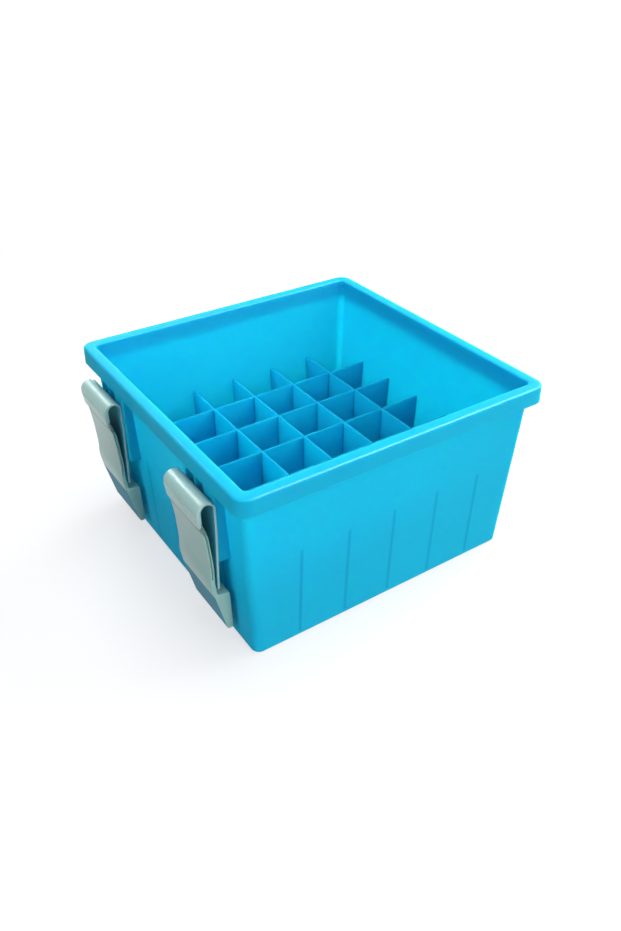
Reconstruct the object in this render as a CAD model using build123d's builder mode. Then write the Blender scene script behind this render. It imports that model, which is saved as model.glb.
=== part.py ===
from build123d import *
import os
from math import acos, cos, degrees, radians, tan

os.makedirs("parts", exist_ok=True)

# Lure box: an open drafted tub with an egg-crate divider and two spring clips on its left side.
# Millimetres. +Z is up, +X runs to the right along the front, +Y to the back.
# The origin is at the centre of the face that the box stands on.

# Tub
base_length = 176.0  # outside, along X, at the foot of the wall
base_width = 172.0  # outside, along Y, at the foot of the wall
tub_height = 112.0
wall_draft = 2.6  # degrees, the walls lean outwards going up
wall_thickness = 1.5
floor_thickness = 1.8
wall_corner_radius = 5.0
foot_radius = 1.2  # rounding between the wall and the underside
floor_fillet = 2.5  # inside, between the wall and the floor

# Rim: a flange at the top of the wall, with a skirt that hangs from its edge
rim_overhang = 5.0
rim_corner_radius = 8.0
rim_thickness = 2.0
rim_outer_rounding = 1.5
rim_inner_rounding = 1.0
skirt_height = 10.6
skirt_thickness = 1.5
skirt_draft = 2.0  # degrees, the skirt leans outwards going down
skirt_edge_rounding = 0.6

# Divider: two sets of half-lapped plates
plate_thickness = 1.2
plate_top = 62.0  # above the face that the box stands on
plates_per_set = 5
cell_length = 30.0  # along X, between upper plates
cell_width = 29.5  # along Y, between lower plates
plate_wall_gap = 0.4
plate_floor_gap = 0.3
plate_foot_radius = 3.0
plate_top_radius = 0.8
lap_gap = 0.15  # on each side of a plate in its slot, and under the lap
slot_lead_in = 0.8  # chamfer at the mouth of a slot

# Docks: bosses under the rim that carry the clips, each with bays open at the foot
dock_inset = 32.0  # from the end of the tub's foot to the middle of a dock, along Y
dock_setback = 1.25  # of the dock's outer face, from the lower edge of the skirt
dock_drop = 43.4  # from the lower edge of the skirt to the foot of the dock
dock_wall = 1.5
dock_rounding = 0.5
dock_bays = 3
bay_width = 8.3
window_drop = 10.4  # from the lower edge of the skirt to the sill
window_height = 9.6
window_rounding = 3.2
windows_per_dock = 2  # in the bays towards the back

# Clips: a hanger that hooks into the dock, and a spring jaw that grips under a host's lip.
# A clip's reach counts outwards from the dock's face, its drop downwards from the arch's middle.
near_clip_shift = 1.3  # from the middle of its dock, towards the back
far_clip_shift = 5.0
clip_width = 36.0
clip_gap = 3.4  # from the lower edge of the skirt to the crown of the clip
clip_span = 11.0  # reach of the clip's outermost face
leg_thickness = 1.5
leg_straight = 14.5
leg_gap = 3.8  # between the foot of the hanger's leg and the jaw's ledge
leg_lean = 1.2
crown_thickness = 1.6
split_reach = 3.15  # where hanger and jaw meet in the arch
jaw_slit = 0.3  # between them there
band_thickness = 3.0
band_height = 8.2  # of the grip band's flat face
band_lean = 0.9
band_step = (1.3, 0.7)  # inwards and down, from the band to the panel
band_back_rise = 2.0  # where the back of the band starts to curve, above its foot
# Bends of the jaw's side view: reach, and drop as a share of the ledge's drop
panel_points = ((7.5, 0.267), (6.4, 0.451), (5.6, 0.705), (6.1, 0.858), (4.7, 1.018))
leaf_points = ((3.9, 0.838), (3.6, 0.691), (4.1, 0.543), (5.2, 0.304), (6.1, 0.221))
slot_points = ((7.2, 0.21), (6.2, 0.309), (5.15, 0.538), (4.65, 0.7), (4.9, 0.799))
curve_radius = 20.0  # of the bends in the panel, the leaf and the slot
slot_thickness = 0.7  # between the two leaves of the jaw
ledge_drop = 54.3
ledge_start = 2.9  # reach at which the ledge meets the leaf
ledge_fall = 1.5  # towards the tub
toe_reach = -4.0  # behind the dock's face, at the ledge
foot_length = 26.8  # from the ledge down to the tip
tip_radius = 1.9
toe_tip_reach = -4.8
heel_tip_reach = -1.0

# Hooks on the hanger, one for each window
hook_gap = 0.5  # on each side of a hook in its window
hook_clearance = 0.1  # behind the dock's outer wall
hook_depth = 1.4
hook_height = 2.0
hook_drop = 2.6

# Worked out from the values above
lean = tan(radians(wall_draft))
wall_shift = wall_thickness / cos(radians(wall_draft))
flange_foot = tub_height - rim_thickness
skirt_foot = tub_height - skirt_height
rim_length = base_length + 2 * (tub_height * lean + rim_overhang + skirt_height * tan(radians(skirt_draft)))
rim_width = rim_length - base_length + base_width
plate_foot = floor_thickness + plate_floor_gap
lap_height = (plate_foot + plate_top) / 2
slot_width = plate_thickness + 2 * lap_gap
dock_face = -rim_length / 2 + dock_setback
dock_back = -base_length / 2 + wall_thickness
dock_foot = skirt_foot - dock_drop
dock_width = dock_bays * bay_width + (dock_bays + 1) * dock_wall
bay_pitch = bay_width + dock_wall
window_sill = skirt_foot - window_drop
dock_offset = base_width / 2 - dock_inset
arch_radius = clip_span / 2
arch_height = skirt_foot - clip_gap - arch_radius
inner_arch_radius = (clip_span - leg_thickness - band_thickness) / 2
inner_arch_reach = leg_thickness + inner_arch_radius
inner_arch_rise = arch_radius - crown_thickness - inner_arch_radius
leg_length = ledge_drop - leg_gap
toe_drop = ledge_drop + ledge_fall
tip_drop = ledge_drop + foot_length


def inner_half(outer_size, height):
    """Half the clear size between two walls at a height, for their outside size at the foot."""
    return outer_size / 2 + height * lean - wall_shift


def side_faces(block):
    """The faces around an upright block."""
    return block.faces().filter_by(Axis.Z, reverse=True)


def leaning_edges(block):
    """The four corner edges of a drafted block."""
    return [edge for edge in block.edges() if abs((edge @ 1 - edge @ 0).Z) > floor_thickness]


def window_middle(side, number):
    """Y of a window, counted from the back end of the dock on this side."""
    return side * dock_offset + ((dock_bays - 1) / 2 - number) * bay_pitch


# Space inside the tub
with BuildPart() as cavity:
    with BuildSketch(Plane.XY.offset(floor_thickness)):
        Rectangle(2 * inner_half(base_length, floor_thickness), 2 * inner_half(base_width, floor_thickness))
    extrude(amount=tub_height - floor_thickness)
    draft(side_faces(cavity), Plane.XY.offset(floor_thickness), -wall_draft)
    fillet(leaning_edges(cavity), radius=wall_corner_radius - wall_thickness)
    fillet(cavity.edges().group_by(Axis.Z)[0], radius=floor_fillet)

# Outside of the tub's walls
with BuildPart() as shell:
    with BuildSketch():
        Rectangle(base_length, base_width)
    extrude(amount=tub_height)
    draft(side_faces(shell), Plane.XY, -wall_draft)
    fillet(leaning_edges(shell), radius=wall_corner_radius)
    fillet(shell.edges().group_by(Axis.Z)[0], radius=foot_radius)

# Docks, reaching from the inside of the wall to the underside of the flange
with BuildPart() as docks:
    for side in (-1, 1):
        with BuildSketch(Plane.XY.offset(dock_foot)):
            with Locations(((dock_face + dock_back) / 2, side * dock_offset)):
                RectangleRounded(dock_back - dock_face, dock_width, dock_rounding)
        extrude(amount=flange_foot - dock_foot + rim_thickness / 2)
    fillet(docks.edges().group_by(Axis.Z)[0], radius=dock_rounding)
    for side in (-1, 1):
        with BuildSketch(Plane.XY.offset(dock_foot)):
            with Locations((dock_face / 2 + dock_wall, side * dock_offset)):
                with GridLocations(0, bay_pitch, 1, dock_bays):
                    Rectangle(-dock_face, bay_width)
        extrude(amount=flange_foot - dock_foot, mode=Mode.SUBTRACT)
        for number in range(windows_per_dock):
            with BuildSketch(Plane.YZ.offset(dock_face)) as window:
                with Locations((window_middle(side, number), window_sill + window_height / 2)):
                    Rectangle(bay_width, window_height)
                fillet(window.vertices().group_by(Axis.Y)[-1], radius=window_rounding)
            extrude(amount=dock_wall, mode=Mode.SUBTRACT)

# Space inside the skirt, under the flange
with BuildPart() as skirt_space:
    with BuildSketch(Plane.XY.offset(skirt_foot)):
        RectangleRounded(
            rim_length - 2 * skirt_thickness,
            rim_width - 2 * skirt_thickness,
            rim_corner_radius - skirt_thickness,
        )
    extrude(amount=skirt_height - rim_thickness)
    draft(side_faces(skirt_space), Plane.XY.offset(skirt_foot), skirt_draft)

with BuildPart() as tub:
    with BuildSketch(Plane.XY.offset(skirt_foot)):
        RectangleRounded(rim_length, rim_width, rim_corner_radius)
    extrude(amount=skirt_height)
    draft(side_faces(tub), Plane.XY.offset(skirt_foot), skirt_draft)
    fillet(tub.edges().group_by(Axis.Z)[-1], radius=rim_outer_rounding)
    add(skirt_space.part, mode=Mode.SUBTRACT)
    fillet(tub.edges().group_by(Axis.Z)[0], radius=skirt_edge_rounding)
    add(docks.part)
    add(shell.part)
    add(cavity.part, mode=Mode.SUBTRACT)
    top_face = tub.faces().sort_by(Axis.Z)[-1]
    fillet(top_face.inner_wires()[0].edges(), radius=rim_inner_rounding)
tub.part.label = "tub"
export_step(tub.part, "parts/tub.step")


def plate_outline(outer_size):
    """A plate's corners: its ends follow the leaning walls, with a gap."""
    foot = inner_half(outer_size, plate_foot) - plate_wall_gap
    top = inner_half(outer_size, plate_top) - plate_wall_gap
    return [(-foot, plate_foot), (foot, plate_foot), (top, plate_top), (-top, plate_top)]


def plate_places(pitch):
    """Where a set's plates stand, from one side of the box to the other."""
    return [(number - (plates_per_set - 1) / 2) * pitch for number in range(plates_per_set)]


# Lower set: plates that run from left to right, slotted from above
for number, place in enumerate(plate_places(cell_width), 1):
    with BuildPart() as lower_plate:
        with BuildSketch(Plane.XZ.offset(-place)) as outline:
            Polygon(*plate_outline(base_length), align=None)
            fillet(outline.vertices().group_by(Axis.Y)[0], radius=plate_foot_radius)
            fillet(outline.vertices().group_by(Axis.Y)[-1], radius=plate_top_radius)
            with Locations(*[(x, plate_top) for x in plate_places(cell_length)]):
                Rectangle(slot_width, 2 * (plate_top - lap_height + lap_gap), mode=Mode.SUBTRACT)
                RegularPolygon(slot_width / 2 + slot_lead_in, 4, mode=Mode.SUBTRACT)
        extrude(amount=plate_thickness / 2, both=True)
    lower_plate.part.label = f"lower_divider_{number}"
    export_step(lower_plate.part, f"parts/lower_divider_{number}.step")

# Upper set: plates that run from front to back, slotted from below
for number, place in enumerate(plate_places(cell_length), 1):
    with BuildPart() as upper_plate:
        with BuildSketch(Plane.YZ.offset(place)) as outline:
            Polygon(*plate_outline(base_width), align=None)
            fillet(outline.vertices().group_by(Axis.Y)[0], radius=plate_foot_radius)
            fillet(outline.vertices().group_by(Axis.Y)[-1], radius=plate_top_radius)
            with Locations(*[(y, plate_foot) for y in plate_places(cell_width)]):
                Rectangle(slot_width, 2 * (lap_height + lap_gap - plate_foot), mode=Mode.SUBTRACT)
                RegularPolygon(slot_width / 2 + slot_lead_in, 4, mode=Mode.SUBTRACT)
        extrude(amount=plate_thickness / 2, both=True)
    upper_plate.part.label = f"upper_divider_{number}"
    export_step(upper_plate.part, f"parts/upper_divider_{number}.step")


def clip_point(reach, drop):
    """A point of a clip's side view."""
    return (dock_face - reach, arch_height - drop)


def bends(points, shift=0):
    """Bends of the jaw's side view, moved outwards by a shift."""
    return [clip_point(reach + shift, share * ledge_drop) for reach, share in points]


def climb(reach, middle_reach, radius):
    """Degrees around an arch, from its dock side to a point at this reach."""
    return degrees(acos((middle_reach - reach) / radius))


arch_middle = clip_point(arch_radius, 0)
inner_arch_middle = clip_point(inner_arch_reach, -inner_arch_rise)
hanger_end = split_reach - jaw_slit / 2
jaw_start = split_reach + jaw_slit / 2
hanger_climb = climb(hanger_end, arch_radius, arch_radius)
hanger_inner_climb = climb(hanger_end, inner_arch_reach, inner_arch_radius)
jaw_climb = climb(jaw_start, arch_radius, arch_radius)
jaw_inner_climb = climb(jaw_start, inner_arch_reach, inner_arch_radius)

for name, side, shift in (("near", -1, near_clip_shift), ("far", 1, far_clip_shift)):
    clip_plane = Plane.XZ.offset(-side * dock_offset - shift)

    # Hanger: the leg that lies on the dock, its share of the arch, and the hooks
    with BuildPart() as hanger:
        with BuildSketch(clip_plane):
            with BuildLine():
                outer_arch = CenterArc(arch_middle, arch_radius, 0, hanger_climb)
                inner_arch = CenterArc(inner_arch_middle, inner_arch_radius, 0, hanger_inner_climb)
                Line(outer_arch @ 1, inner_arch @ 1)
                Polyline(
                    inner_arch @ 0,
                    clip_point(leg_thickness, leg_straight),
                    clip_point(leg_thickness + leg_lean, leg_length),
                    clip_point(leg_lean, leg_length),
                    clip_point(0, leg_straight),
                    outer_arch @ 0,
                )
            make_face()
        extrude(amount=clip_width / 2, both=True)
        hook_root = dock_face - leg_thickness / 2
        hook_front = dock_face + dock_wall + hook_clearance
        hook_back = hook_front + hook_depth
        for number in range(windows_per_dock):
            with BuildSketch(Plane.XZ.offset(-window_middle(side, number))):
                Polygon(
                    (hook_root, window_sill),
                    (hook_front, window_sill),
                    (hook_front, window_sill - hook_drop),
                    (hook_back, window_sill - hook_drop / 2),
                    (hook_back, window_sill + hook_height),
                    (hook_root, window_sill + hook_height),
                    align=None,
                )
            extrude(amount=bay_width / 2 - hook_gap, both=True)
    hanger.part.label = f"{name}_clip_hanger"
    export_step(hanger.part, f"parts/{name}_clip_hanger.step")

    # Jaw: the rest of the arch, the grip band, two curved leaves and the foot
    with BuildPart() as jaw:
        with BuildSketch(clip_plane):
            with BuildLine():
                outer_arch = CenterArc(arch_middle, arch_radius, jaw_climb, 180 - jaw_climb)
                inner_arch = CenterArc(
                    inner_arch_middle, inner_arch_radius, jaw_inner_climb, 180 - jaw_inner_climb
                )
                Line(outer_arch @ 0, inner_arch @ 0)
                band = Polyline(
                    outer_arch @ 1,
                    clip_point(clip_span - band_lean, band_height),
                    clip_point(clip_span - band_lean - band_step[0], band_height + band_step[1]),
                )
                heel = clip_point(heel_tip_reach, tip_drop - tip_radius)
                panel = FilletPolyline(band @ 1, *bends(panel_points), heel, radius=curve_radius)
                toe = Line(
                    clip_point(toe_tip_reach, tip_drop - tip_radius), clip_point(toe_reach, toe_drop)
                )
                tip_middle = (heel_tip_reach + toe_tip_reach) / 2
                ThreePointArc(panel @ 1, clip_point(tip_middle, tip_drop), toe @ 0)
                ledge = Line(toe @ 1, clip_point(ledge_start, ledge_drop))
                band_back = clip_point(clip_span - band_thickness, band_height - band_back_rise)
                leaf = FilletPolyline(ledge @ 1, *bends(leaf_points), band_back, radius=curve_radius)
                Line(leaf @ 1, inner_arch @ 1)
            make_face()
        extrude(amount=clip_width / 2, both=True)
        with BuildSketch(clip_plane):
            with BuildLine():
                slot_front = FilletPolyline(*bends(slot_points, slot_thickness / 2), radius=curve_radius)
                slot_back = FilletPolyline(*bends(slot_points, -slot_thickness / 2), radius=curve_radius)
                Line(slot_front @ 0, slot_back @ 0)
                Line(slot_front @ 1, slot_back @ 1)
            make_face()
        extrude(amount=clip_width / 2, both=True, mode=Mode.SUBTRACT)
    jaw.part.label = f"{name}_clip_jaw"
    export_step(jaw.part, f"parts/{name}_clip_jaw.step")
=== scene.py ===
import math
import bpy
import bmesh
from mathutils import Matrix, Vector


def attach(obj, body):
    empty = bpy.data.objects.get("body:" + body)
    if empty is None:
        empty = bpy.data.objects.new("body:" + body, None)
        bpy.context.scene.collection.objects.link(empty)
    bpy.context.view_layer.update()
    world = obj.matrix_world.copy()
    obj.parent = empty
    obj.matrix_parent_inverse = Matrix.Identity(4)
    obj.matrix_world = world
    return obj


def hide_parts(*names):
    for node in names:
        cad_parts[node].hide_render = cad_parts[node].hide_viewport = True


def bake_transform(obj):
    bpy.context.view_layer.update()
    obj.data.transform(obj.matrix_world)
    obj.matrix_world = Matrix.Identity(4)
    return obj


print("lure box: loading the packed frame")
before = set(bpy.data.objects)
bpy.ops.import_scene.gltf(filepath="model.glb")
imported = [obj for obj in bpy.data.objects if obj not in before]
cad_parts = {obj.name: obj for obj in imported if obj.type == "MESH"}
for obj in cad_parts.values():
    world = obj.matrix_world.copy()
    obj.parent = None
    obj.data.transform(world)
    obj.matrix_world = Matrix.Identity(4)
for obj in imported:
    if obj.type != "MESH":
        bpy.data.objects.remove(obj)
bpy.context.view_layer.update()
mm = 0.001

# Sizes of the solids that the plates and the painted shade lines on the walls follow, in millimetres
tub = {
    "length": 176.0,  # outside, at the foot of the wall
    "width": 172.0,
    "wall": 1.5,
    "draft": math.radians(2.6),
}

plates = {
    "count": 5,  # in each of the two sets
    "thickness": 1.2,
    "foot": 2.1,
    "top": 62.0,
    "footRadius": 3.0,
    "topRadius": 0.8,
    "wallGap": 0.4,
    "lapGap": 0.15,  # on each side of a plate in its slot, and under the lap
    "leadIn": 0.8,
    "edge": 0.25,
    "endDepth": 1.0,  # how much of a plate counts as its end, and as its top edge
    "topDepth": 0.3,
    "lowerPitch": 29.5,  # between lower plates, from front to back
    "upperPitch": 30.0,
}


def newMaterial(name):
    material = bpy.data.materials.new(name)
    material.use_nodes = True
    tree = material.node_tree
    return material, tree, tree.nodes["Principled BSDF"]


def addNode(tree, kind, **sockets):
    node = tree.nodes.new(kind)
    for socket, value in sockets.items():
        node.inputs[socket.replace("_", " ")].default_value = value
    return node


# A Math node; numbers go in its sockets, and outputs of other nodes are linked.
def maths(tree, operation, *values):
    node = tree.nodes.new("ShaderNodeMath")
    node.operation = operation
    for socket, value in zip(node.inputs, values):
        if isinstance(value, float):
            socket.default_value = value
        else:
            tree.links.new(value, socket)
    return node.outputs[0]


def vectorMaths(tree, operation, vector, other=None):
    node = tree.nodes.new("ShaderNodeVectorMath")
    node.operation = operation
    tree.links.new(vector, node.inputs[0])
    if other:
        node.inputs[1].default_value = other
    return node.outputs["Value"]


def fadeBetween(tree, value, start, end, fromValue=0.0, toValue=1.0, curve="SMOOTHSTEP"):
    node = addNode(
        tree, "ShaderNodeMapRange",
        From_Min=start, From_Max=end, To_Min=fromValue, To_Max=toValue,
    )
    node.interpolation_type = curve
    tree.links.new(value, node.inputs["Value"])
    return node.outputs["Result"]


# A tone is a colour, or the output of another node.
def mixTones(tree, factor, *tones):
    node = tree.nodes.new("ShaderNodeMix")
    node.data_type = "RGBA"
    tree.links.new(factor, node.inputs["Factor"])
    for socket, tone in zip("AB", tones):
        if isinstance(tone, tuple):
            node.inputs[socket].default_value = tone
        else:
            tree.links.new(tone, node.inputs[socket])
    return node.outputs["Result"]


def objectAxes(tree):
    place = tree.nodes.new("ShaderNodeTexCoord")
    split = tree.nodes.new("ShaderNodeSeparateXYZ")
    tree.links.new(place.outputs["Object"], split.inputs[0])
    return split.outputs


bluePlastic = {
    "base": (0.009, 0.47, 0.80, 1),
    "cloud": (0.012, 0.51, 0.83, 1),  # where the melt flowed a little thinner
    "roughness": (0.28, 0.38),
    "gloss": 0.0,
    "skin": 0.02,  # the smooth skin that the mould leaves
    "skinRoughness": 0.30,
    "glow": 1.0,  # how much light soaks through the walls
    "glowReach": 7 * mm,
    "glowMix": (0.5, 1.1, 0.8),
    "clear": 0.06,
    "grain": 0.03,
}

smokePlastic = {
    "base": (0.58, 0.84, 0.77, 1),
    "cloud": (0.52, 0.79, 0.73, 1),
    "roughness": (0.26, 0.36),
    "gloss": 0.1,
    "skin": 0.17,
    "skinRoughness": 0.26,
    "glow": 0.6,
    "glowReach": 3 * mm,
    "glowMix": (0.9, 1.0, 1.0),
    "clear": 0.4,
    "grain": 0.01,
}

# What moulding leaves on every piece: cloudy colour, patches of sheen and a fine grain
mould = {
    "clouds": {"Scale": 9.0, "Detail": 3.0, "Roughness": 0.5},
    "sheen": {"Scale": 60.0, "Detail": 4.0},
    "grain": {"Scale": 900.0, "Detail": 2.0},
    "grainDepth": 0.1 * mm,
    "refraction": 1.49,
}


def mouldedPlastic(name, look):
    material, tree, shader = newMaterial(name)
    link = tree.links.new
    place = tree.nodes.new("ShaderNodeTexCoord")

    def noise(settings):
        node = addNode(tree, "ShaderNodeTexNoise", **settings)
        link(place.outputs["Object"], node.inputs["Vector"])
        return node.outputs["Fac"]

    link(mixTones(tree, noise(mould["clouds"]), look["base"], look["cloud"]), shader.inputs["Base Color"])
    rough = fadeBetween(tree, noise(mould["sheen"]), 0.0, 1.0, *look["roughness"], curve="LINEAR")
    link(rough, shader.inputs["Roughness"])
    bump = addNode(tree, "ShaderNodeBump", Strength=look["grain"], Distance=mould["grainDepth"])
    link(noise(mould["grain"]), bump.inputs["Height"])
    link(bump.outputs["Normal"], shader.inputs["Normal"])
    shader.inputs["IOR"].default_value = mould["refraction"]
    shader.inputs["Specular IOR Level"].default_value = look["gloss"]
    shader.inputs["Coat Weight"].default_value = look["skin"]
    shader.inputs["Coat Roughness"].default_value = look["skinRoughness"]
    shader.inputs["Transmission Weight"].default_value = look["clear"]
    shader.inputs["Subsurface Weight"].default_value = look["glow"]
    shader.inputs["Subsurface Radius"].default_value = look["glowMix"]
    shader.inputs["Subsurface Scale"].default_value = look["glowReach"]
    return material


tubPlastic = mouldedPlastic("translucent blue plastic", bluePlastic)
platePlastic = mouldedPlastic("blue plate plastic", {
    **bluePlastic, "base": (0.006, 0.54, 0.87, 1), "cloud": (0.008, 0.57, 0.89, 1), "clear": 0.0,
})
# Painted shade: a near-black copy of the plate plastic for the plates' end faces
plateEndShadePlastic = mouldedPlastic("blue plate ends, painted shade against the wall", {
    **bluePlastic, "base": (0.001, 0.06, 0.17, 1), "cloud": (0.001, 0.08, 0.20, 1), "clear": 0.0,
})
plateTopPlastic = mouldedPlastic("blue plate tops", {
    **bluePlastic, "base": (0.004, 0.33, 0.66, 1), "cloud": (0.006, 0.36, 0.69, 1), "clear": 0.0,
})
clipPlastic = mouldedPlastic("smoke grey plastic", smokePlastic)
leafPlastic = mouldedPlastic("smoke grey plastic, thin and deeper in colour", {
    **smokePlastic, "base": (0.44, 0.74, 0.66, 1), "cloud": (0.38, 0.68, 0.61, 1), "skin": 0.15,
})
# Painted shade: a darker blue copy of the smoke grey plastic, standing for shade and for the blue wall
# seen through, on faces that point down, look into the clip's gap or lie behind the dock's wall
paintedShadeSmokePlastic = mouldedPlastic("smoke grey plastic with the blue wall showing through", {
    **smokePlastic, "base": (0.06, 0.33, 0.45, 1), "cloud": (0.08, 0.37, 0.49, 1),
    "gloss": 0.0, "skin": 0.04, "clear": 0.2,
})


def paintOver(material, factor, tone):
    tree = material.node_tree
    colour = tree.nodes["Principled BSDF"].inputs["Base Color"]
    tree.links.new(mixTones(tree, factor, colour.links[0].from_socket, tone), colour)


# Painted shade lines on the tub's walls, and the glossier skin of the rim
tubShadeLinesAndRimSkin = {
    # The walls lie between these distances from the tub's middle.
    "acrossFront": {"pitch": plates["upperPitch"] * mm, "from": 84.5 * mm, "to": 95 * mm},
    "acrossSide": {"pitch": plates["lowerPitch"] * mm, "from": 87.5 * mm, "to": 95 * mm},
    "reach": 75 * mm,  # the outermost plates lie within this
    "foot": 3 * mm,
    "top": (plates["top"] - 1) * mm,
    "topFade": 2 * mm,
    "width": (0.5 * mm, 1.3 * mm),
    "strength": 0.5,
    "tone": (0.002, 0.25, 0.58, 1),
    "rimSkin": 0.06,
    "rimFoot": 100 * mm,
    "rimFade": 3 * mm,
}


# Painted shade: soft darker lines on the tub's walls where the ends of the plates touch them, standing
# for the plates' shadow seen through the wall.
# The rim is left glossier by the mould than the walls are.
def addTubShadeLinesAndRimSkin(material, shadeLinesAndSkin):
    tree = material.node_tree
    skin = tree.nodes["Principled BSDF"].inputs["Coat Weight"]
    x, y, height = objectAxes(tree)
    lines = []
    for along, out, wall in ((x, y, shadeLinesAndSkin["acrossFront"]), (y, x, shadeLinesAndSkin["acrossSide"])):
        beside = maths(tree, "PINGPONG", along, wall["pitch"] / 2)
        line = fadeBetween(tree, beside, *shadeLinesAndSkin["width"], 1.0, 0.0)
        within = maths(tree, "LESS_THAN", maths(tree, "ABSOLUTE", along), shadeLinesAndSkin["reach"])
        outwards = maths(tree, "ABSOLUTE", out)
        fromHere = maths(tree, "GREATER_THAN", outwards, wall["from"])
        toHere = maths(tree, "LESS_THAN", outwards, wall["to"])
        onWall = maths(tree, "MULTIPLY", fromHere, toHere)
        lines.append(maths(tree, "MULTIPLY", maths(tree, "MULTIPLY", line, within), onWall))
    faded = shadeLinesAndSkin["top"] + shadeLinesAndSkin["topFade"]
    below = fadeBetween(tree, height, shadeLinesAndSkin["top"], faded, shadeLinesAndSkin["strength"], 0.0)
    above = maths(tree, "GREATER_THAN", height, shadeLinesAndSkin["foot"])
    strength = maths(tree, "MULTIPLY", below, above)
    # Painted shade: the lines darken the tub's base colour.
    paintOver(material, maths(tree, "MULTIPLY", maths(tree, "MAXIMUM", *lines), strength), shadeLinesAndSkin["tone"])
    rimTop = shadeLinesAndSkin["rimFoot"] + shadeLinesAndSkin["rimFade"]
    rimSkin = fadeBetween(tree, height, shadeLinesAndSkin["rimFoot"], rimTop, skin.default_value, shadeLinesAndSkin["rimSkin"])
    tree.links.new(rimSkin, skin)


print("lure box: tub")
addTubShadeLinesAndRimSkin(tubPlastic, tubShadeLinesAndRimSkin)
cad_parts["tub"].data.materials.clear()
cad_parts["tub"].data.materials.append(tubPlastic)


# Corners with a third number get an arc of that radius.
def roundedLoop(points, steps=6):
    loop = []
    for i, point in enumerate(points):
        here = Vector((point[0], point[1]))
        if len(point) < 3:
            loop.append(here)
            continue
        last, following = points[i - 1], points[(i + 1) % len(points)]
        back = (Vector((last[0], last[1])) - here).normalized()
        ahead = (Vector((following[0], following[1])) - here).normalized()
        half = math.acos(max(-1, min(1, back.dot(ahead)))) / 2
        middle = here + (back + ahead).normalized() * (point[2] / math.sin(half))
        start = here + back * (point[2] / math.tan(half)) - middle
        end = here + ahead * (point[2] / math.tan(half)) - middle
        sweep = math.atan2(start.x * end.y - start.y * end.x, start.dot(end))
        for k in range(steps + 1):
            turn = sweep * k / steps
            loop.append(middle + Vector((
                start.x * math.cos(turn) - start.y * math.sin(turn),
                start.x * math.sin(turn) + start.y * math.cos(turn),
            )))
    return loop


def arcPoints(middle, radius, start, end, steps=16):
    turns = [math.radians(start + (end - start) * k / steps) for k in range(steps + 1)]
    return [(middle[0] + radius * math.cos(t), middle[1] + radius * math.sin(t)) for t in turns]


# Every corner moves into the material: left of the way that the loop runs.
def insetLoop(loop, depth, sharpest=0.5):
    moved = []
    for i, point in enumerate(loop):
        arriving = (point - loop[i - 1]).normalized()
        leaving = (loop[(i + 1) % len(loop)] - point).normalized()
        inwards = Vector((-arriving.y - leaving.y, arriving.x + leaving.x)).normalized()
        mitre = max(sharpest, inwards.dot(Vector((-arriving.y, arriving.x))))
        moved.append(point + inwards * (depth / mitre))
    return moved


# Depth below the end of a bar, and inset of the side view there, for a rounded edge
def edgeRings(radius, steps=3):
    turns = [math.pi / 2 * k / steps for k in range(steps + 1)]
    return [(radius * (1 - math.cos(turn)), radius * (1 - math.sin(turn))) for turn in turns]


def closeEnds(bm, place, half):
    axis = (place(0, 1, 0) - place(0, 0, 0)).normalized()
    for end in (-half, half):
        level = place(0, end, 0)
        rim = [e for e in bm.edges if all(abs((v.co - level).dot(axis)) < 1e-6 for v in e.verts)]
        bmesh.ops.triangle_fill(bm, edges=rim, use_beauty=True, use_dissolve=False)
    bmesh.ops.recalc_face_normals(bm, faces=bm.faces)


# A side view drawn out to a width, with its edges rounded
def mouldedBar(name, loops, place, half, edge, plastic, extraRings=(), reshape=None, sharpFrom=40):
    rings = edgeRings(edge) + [(depth, 0.0) for depth in extraRings]
    stations = [(-half + depth, inset, depth) for depth, inset in rings]
    stations += [(half - depth, inset, depth) for depth, inset in reversed(rings)]
    bm = bmesh.new()
    for loop in loops:
        last = None
        for along, inset, depth in stations:
            shaped = reshape(loop, depth) if reshape else loop
            ring = [bm.verts.new(place(p.x, along, p.y)) for p in insetLoop(shaped, inset)]
            if last:
                for i in range(len(ring)):
                    bm.faces.new((last[i - 1], last[i], ring[i], ring[i - 1]))
            last = ring
    closeEnds(bm, place, half)
    mesh = bpy.data.meshes.new(name)
    bm.to_mesh(mesh)
    bm.free()
    mesh.shade_smooth()
    mesh.set_sharp_from_angle(angle=math.radians(sharpFrom))
    mesh.materials.append(plastic)
    piece = bpy.data.objects.new(name, mesh)
    bpy.context.scene.collection.objects.link(piece)
    return piece


def recolour(piece, plastic, chosen):
    piece.data.materials.append(plastic)
    for face in piece.data.polygons:
        if chosen(face):
            face.material_index = len(piece.data.materials) - 1


# The lower plates run from left to right with slots in their tops, the upper ones
# from front to back with slots in their feet. Axis 0 is X and axis 1 is Y.
plateSets = {
    "lower": {
        "axis": 0,
        "room": tub["length"],
        "pitch": plates["lowerPitch"],
        "crossPitch": plates["upperPitch"],
    },
    "upper": {
        "axis": 1,
        "room": tub["width"],
        "pitch": plates["upperPitch"],
        "crossPitch": plates["lowerPitch"],
    },
}


def platePlaces(pitch):
    return [(number - (plates["count"] - 1) / 2) * pitch for number in range(plates["count"])]


# Half the length of a plate at a height, between walls that lean outwards
def plateHalf(room, height):
    wall = tub["wall"] / math.cos(tub["draft"])
    return room / 2 + height * math.tan(tub["draft"]) - wall - plates["wallGap"]


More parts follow.
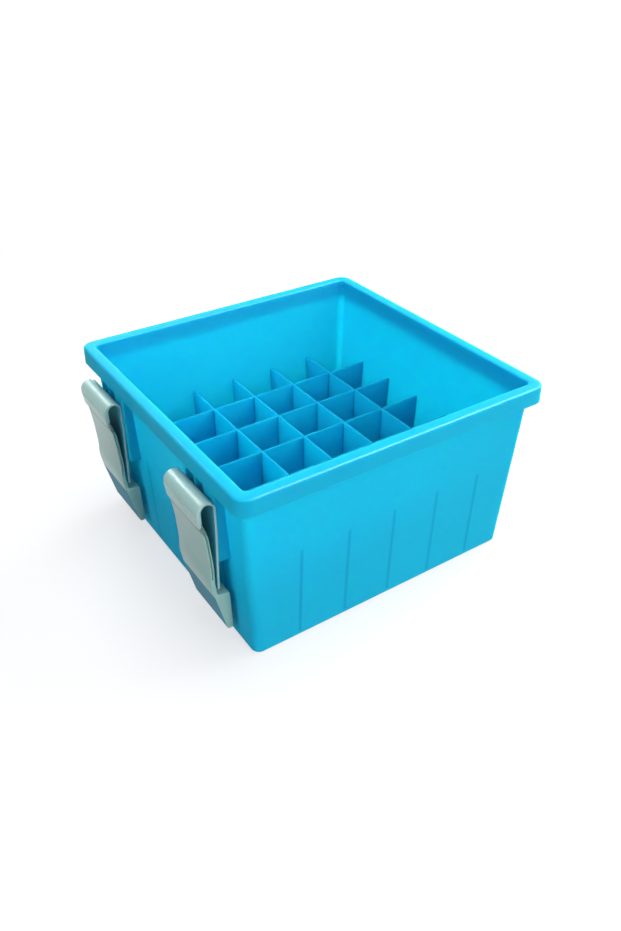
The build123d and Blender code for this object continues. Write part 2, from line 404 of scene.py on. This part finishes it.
def plateLoop(plateSet, slotsUp):
    foot, top, lead = plates["foot"], plates["top"], plates["leadIn"]
    half = plates["thickness"] / 2 + plates["lapGap"]
    lap = (foot + top) / 2
    footHalf, topHalf = plateHalf(plateSet["room"], foot), plateHalf(plateSet["room"], top)
    corners = [(-footHalf, foot, plates["footRadius"])]
    if not slotsUp:
        roof = lap + plates["lapGap"]
        for middle in platePlaces(plateSet["crossPitch"]):
            corners += [(middle - half - lead, foot), (middle - half, foot + lead)]
            corners += [(middle - half, roof), (middle + half, roof)]
            corners += [(middle + half, foot + lead), (middle + half + lead, foot)]
    corners.append((footHalf, foot, plates["footRadius"]))
    corners.append((topHalf, top, plates["topRadius"]))
    if slotsUp:
        bed = lap - plates["lapGap"]
        for middle in reversed(platePlaces(plateSet["crossPitch"])):
            corners += [(middle + half + lead, top), (middle + half, top - lead)]
            corners += [(middle + half, bed), (middle - half, bed)]
            corners += [(middle - half, top - lead), (middle - half - lead, top)]
    corners.append((-topHalf, top, plates["topRadius"]))
    return roundedLoop(corners)


# Painted shade: a plate's end faces lie in the dark beside the tub's wall and get a near-black blue.
# Its top edges are thin and deep in colour.
def shadePlate(plate, plateSet):
    axis = plateSet["axis"]
    ends = (plateHalf(plateSet["room"], plates["foot"]) - plates["endDepth"]) * mm
    tops = (plates["top"] - plates["topDepth"]) * mm
    # Painted shade on the end faces
    recolour(plate, plateEndShadePlastic,
             lambda face: abs(face.normal[axis]) > 0.9 and abs(face.center[axis]) > ends)
    recolour(plate, plateTopPlastic,
             lambda face: face.normal.z > 0.3 and face.center.z > tops)


print("lure box: divider plates")
for kind, plateSet in plateSets.items():
    sideView = plateLoop(plateSet, slotsUp=kind == "lower")
    for number, middle in enumerate(platePlaces(plateSet["pitch"]), 1):
        def platePlace(reach, along, height, kind=kind, middle=middle):
            if kind == "lower":
                return Vector((reach, middle + along, height)) * mm
            return Vector((middle + along, reach, height)) * mm

        plate = mouldedBar(
            f"{kind}_plate_{number}", [sideView], platePlace,
            plates["thickness"] / 2, plates["edge"], platePlastic,
        )
        shadePlate(plate, plateSet)
        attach(plate, "lower_dividers" if kind == "lower" else f"upper_divider_{number}")
        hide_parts(f"{kind}_divider_{number}")


# Points of the clips are (reach out from the dock's face, height), with a radius where there is one.
clips = {
    "dockFace": -97.184,
    "width": 36.0,
    "places": {"near": -52.7, "far": 59.0},
    "archEdge": 0.45,
    "archMiddle": (5.3, 92.8),
    "archRadius": 5.2,
    "innerMiddle": (4.75, 93.15),
    "innerRadius": 3.25,
    "hangerFoot": [(1.2, 42.0, 0.3), (2.7, 42.0, 0.5), (1.5, 78.0, 12.0)],
    "hangerBack": [(0.0, 78.0, 12.0)],
    "hangerReach": 3.0,  # what lies nearer to the dock is the hanger's leg
    "band": [
        (8.0, 85.0), (8.7, 84.6), (9.6, 83.65, 0.2), (10.1, 84.4, 0.35),
        (11.0, 91.0, 0.3), (10.45, 91.7, 0.3),
    ],
    "bandBack": 9.0,  # what reaches out past this, below the band's top, belongs to the band
    "bandTop": 91.3,
    "bandInset": 0.4,  # how far the grip band tapers in at its ends
    "bandTaper": 3.2,
    "bandRings": (1.0, 2.1),  # where the taper is cut across, from each end of the clip
    "bendFrom": 2.72,  # the arch's bend lies between these reaches, at this height; the places are computed, and the arch stays rigid
    "bendTo": 3.6,
    "bendHeight": 96.7,
    "panelEdge": 0.22,
    "panelBend": 37.0,  # below this the panel turns in under itself
    "panel": [
        (-4.865, 11.4, 1.5), (-1.45, 11.4, 1.6), (4.7, 37.2, 30), (6.1, 45.9, 30), (5.6, 54.2, 30),
        (6.4, 68.0, 30), (7.55, 78.0, 30), (8.5, 82.9), (8.3, 84.8), (9.3, 86.2), (8.3, 87.2),
        (6.1, 80.5, 10), (5.2, 76.0, 30), (4.1, 63.0, 30), (3.6, 55.0, 30), (3.9, 47.0, 30),
        (2.9, 38.2, 0.8), (-4.0, 36.7, 0.6),
    ],
    "slot": [
        (4.55, 49.1, 0.3), (4.3, 54.5, 30), (4.8, 63.3, 30), (5.85, 75.7, 30), (6.85, 81.1, 0.3),
        (7.55, 81.1, 0.3), (6.55, 75.7, 30), (5.5, 63.3, 30), (5.0, 54.5, 30), (5.25, 49.1, 0.3),
    ],
    # painted shade under the grip band
    "underBandShade": {"from": 77.8 * mm, "to": 80.8 * mm, "strength": 0.75, "tone": (0.10, 0.17, 0.16, 1)},
}

# Two hooks on each clip reach through the dock's windows and down behind its wall.
hooks = {
    "width": 7.3,
    "edge": 0.25,
    "windows": {"near": (-54.0, -44.2), "far": (54.0, 63.8)},
    "loop": [
        (-1.6, 91.0), (0.75, 91.0), (0.75, 93.0),
        (-3.0, 93.0, 0.5), (-3.0, 89.7, 0.4), (-1.6, 88.4, 0.3),
    ],
}

archLoop = roundedLoop(
    clips["hangerFoot"]
    + arcPoints(clips["innerMiddle"], clips["innerRadius"], 180, 0)
    + clips["band"]
    + arcPoints(clips["archMiddle"], clips["archRadius"], 0, 180)
    + clips["hangerBack"]
)
panelLoops = [roundedLoop(clips["panel"]), roundedLoop(clips["slot"])]
hookLoop = roundedLoop(hooks["loop"])


# Painted shade: the clips' panels grow darker close under the grip band, where the band shades them.
def paintUnderBandShade(material, underBandShade):
    tree = material.node_tree
    height = objectAxes(tree)["Z"]
    factor = fadeBetween(tree, height, underBandShade["from"], underBandShade["to"], 0.0, underBandShade["strength"])
    paintOver(material, factor, underBandShade["tone"])


# The proud grip band comes down to the level of the arch near each end of the clip.
def taperBand(loop, depth):
    share = max(0.0, 1 - depth / clips["bandTaper"])
    shaped = []
    for point in loop:
        onBand = point.x > clips["bandBack"] and point.y < clips["bandTop"]
        move = clips["bandInset"] * share if onBand else 0.0
        shaped.append(Vector((point.x - move, point.y)))
    return shaped


# Gives a function that turns a reach, a step along the tub and a height into a place.
def besideDock(middle):
    return lambda reach, along, height: Vector((clips["dockFace"] - reach, middle + along, height)) * mm


print("lure box: clips")
# Painted shade under the grip band, on the panels' plastic
paintUnderBandShade(leafPlastic, clips["underBandShade"])
legFace = (clips["dockFace"] - clips["hangerReach"]) * mm
panelBend = clips["panelBend"] * mm
for side, middle in clips["places"].items():
    clipPlace = besideDock(middle)
    arch = mouldedBar(
        f"{side}_clip_arch", [archLoop], clipPlace, clips["width"] / 2, clips["archEdge"], clipPlastic,
        extraRings=(*clips["bandRings"], clips["bandTaper"]), reshape=taperBand,
    )
    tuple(clipPlace(clips["bendFrom"], 0, clips["bendHeight"]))
    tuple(clipPlace(clips["bendTo"], 0, clips["bendHeight"]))
    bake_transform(arch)
    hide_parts(f"{side}_clip_hanger", f"{side}_clip_jaw")
    # Painted shade: the hanger leg's faces that look out into the clip's gap take the darker blue copy.
    recolour(arch, paintedShadeSmokePlastic, lambda face: face.normal.x < -0.5 and face.center.x > legFace)

    panel = mouldedBar(
        f"{side}_clip_panel", panelLoops, clipPlace, clips["width"] / 2, clips["panelEdge"], leafPlastic,
    )
    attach(panel, f"{side}_clip_jaw")
    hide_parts(f"{side}_clip_jaw")
    # Painted shade: the panel's faces that point down below its bend take the darker blue copy.
    recolour(panel, paintedShadeSmokePlastic, lambda face: face.normal.z < -0.1 and face.center.z < panelBend)

    for number, window in enumerate(hooks["windows"][side], 1):
        # Painted shade: the hooks behind the dock's wall take the darker blue copy.
        hook = mouldedBar(
            f"{side}_clip_hook_{number}", [hookLoop], besideDock(window),
            hooks["width"] / 2, hooks["edge"], paintedShadeSmokePlastic,
        )
        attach(hook, "tub")


studio = {
    "floorSize": 8.0,
    "floorDrop": 0.0002,  # just below the object's foot
    "floorRoughness": 0.9,
    "floor": (0.93, 0.935, 0.94, 1),
    "floorBounce": (0.15, 0.15, 0.15, 1),  # what the floor gives back to the object
    "paleFrom": 0.22,  # metres from the middle, where the floor starts to fade to plain white
    "paleTo": 0.60,
    "paleNear": 0.62,  # how much of the floor is plain white beside the box
    "world": (0.03, 0.08),  # strength of the studio's dim side and of its bright side
    "brightSide": (0.75, -0.25, 0.6),
    "dimmest": -0.6,  # how far away from the bright side the light stops falling
    "aim": (0, 0, 0.06),
    "lamps": {
        "front softbox": {"place": (0.15, -1.25, 0.40), "size": 0.8, "power": 8.3},
        "left fill": {
            "place": (-1.00, -0.45, 0.75), "size": 0.9, "power": 7.5, "tone": (0.86, 0.91, 1.0),
        },
        "top fill": {"place": (0.10, 0.0, 1.2), "size": 0.9, "power": 7.0},
        "right softbox": {"place": (1.15, 0.05, 0.60), "size": 1.4, "power": 24.0},
        "back softbox": {"place": (0.30, 1.30, 0.25), "size": 0.7, "power": 13.0},
        "front glints": {"place": (0.62, -0.72, 0.76), "size": 0.75, "depth": 0.05, "power": 100.0},
        "back glints": {"place": (-0.25, 0.95, 0.85), "size": 0.60, "depth": 0.05, "power": 9.0},
    },
}


# 1 for rays that should meet plain white: the camera's own, and those seen in gloss or through plastic
def paleRays(tree):
    rays = tree.nodes.new("ShaderNodeLightPath").outputs
    seen = maths(tree, "MAXIMUM", rays["Is Camera Ray"], rays["Is Transmission Ray"])
    return maths(tree, "MAXIMUM", seen, rays["Is Glossy Ray"])


def mixShaders(tree, *parts):
    node = tree.nodes.new("ShaderNodeMixShader")
    for socket, part in zip(node.inputs, parts):
        tree.links.new(part, socket)
    return node.outputs["Shader"]


# Plain white away from the box, with the box's shadow kept beside it.
# From below, the floor hides nothing.
def floorPaint():
    paint, tree, shader = newMaterial("pale studio floor")
    shader.inputs["Roughness"].default_value = studio["floorRoughness"]
    tone = mixTones(tree, paleRays(tree), studio["floorBounce"], studio["floor"])
    tree.links.new(tone, shader.inputs["Base Color"])
    spot = tree.nodes.new("ShaderNodeNewGeometry").outputs
    away = vectorMaths(tree, "LENGTH", spot["Position"])
    fade = fadeBetween(tree, away, studio["paleFrom"], studio["paleTo"], studio["paleNear"])
    white = tree.nodes.new("ShaderNodeEmission").outputs["Emission"]
    clear = tree.nodes.new("ShaderNodeBsdfTransparent").outputs["BSDF"]
    pale = mixShaders(tree, maths(tree, "MULTIPLY", fade, paleRays(tree)), shader.outputs["BSDF"], white)
    oneSided = mixShaders(tree, spot["Backfacing"], pale, clear)
    tree.links.new(oneSided, tree.nodes["Material Output"].inputs["Surface"])
    return paint


def lightWorld():
    world = bpy.data.worlds.new("studio light")
    bpy.context.scene.world = world
    world.use_nodes = True
    tree = world.node_tree
    heading = tree.nodes.new("ShaderNodeTexCoord").outputs["Generated"]
    towards = vectorMaths(tree, "DOT_PRODUCT", heading, studio["brightSide"])
    glow = fadeBetween(tree, towards, studio["dimmest"], 1.0, *studio["world"], curve="LINEAR")
    strength = addNode(tree, "ShaderNodeMapRange", To_Max=1.0)
    tree.links.new(glow, strength.inputs["To Min"])
    tree.links.new(paleRays(tree), strength.inputs["Value"])
    background = tree.nodes["Background"]
    background.inputs["Color"].default_value = (1, 1, 1, 1)
    tree.links.new(strength.outputs["Result"], background.inputs["Strength"])


# A lamp with a depth is a thin strip that shows in gloss only.
def hangLamp(name, lamp):
    strip = "depth" in lamp
    data = bpy.data.lights.new(name, "AREA")
    data.shape = "RECTANGLE" if strip else "DISK"
    data.size = lamp["size"]
    data.size_y = lamp.get("depth", lamp["size"])
    data.energy = lamp["power"]
    data.color = lamp.get("tone", (1, 1, 1))
    hung = bpy.data.objects.new(name, data)
    bpy.context.scene.collection.objects.link(hung)
    hung.visible_diffuse = not strip
    hung.visible_transmission = not strip
    hung.location = lamp["place"]
    fromAim = Vector(lamp["place"]) - Vector(studio["aim"])
    hung.rotation_euler = fromAim.to_track_quat("Z", "Y").to_euler()


print("lure box: studio")
bpy.ops.mesh.primitive_plane_add(size=studio["floorSize"], location=(0, 0, -studio["floorDrop"]))
floor = bpy.context.object
floor.name = "studio_floor"
floor.data.materials.append(floorPaint())
lightWorld()
for name, lamp in studio["lamps"].items():
    hangLamp(name, lamp)

view = {
    "place": (-0.235629, -0.357823, 0.335303),
    "turn": 33.891,  # degrees clockwise from straight back
    "dip": 34.557,  # degrees below the horizon
    "lens": 32.143,
}

print("lure box: camera")
cameraData = bpy.data.cameras.new("photo view")
cameraData.lens = view["lens"]
camera = bpy.data.objects.new("photo view", cameraData)
bpy.context.scene.collection.objects.link(camera)
camera.location = view["place"]
camera.rotation_euler = (math.radians(90 - view["dip"]), 0, math.radians(-view["turn"]))
bpy.context.scene.camera = camera
bpy.context.scene.view_settings.view_transform = "Standard"

print("lure box: done")
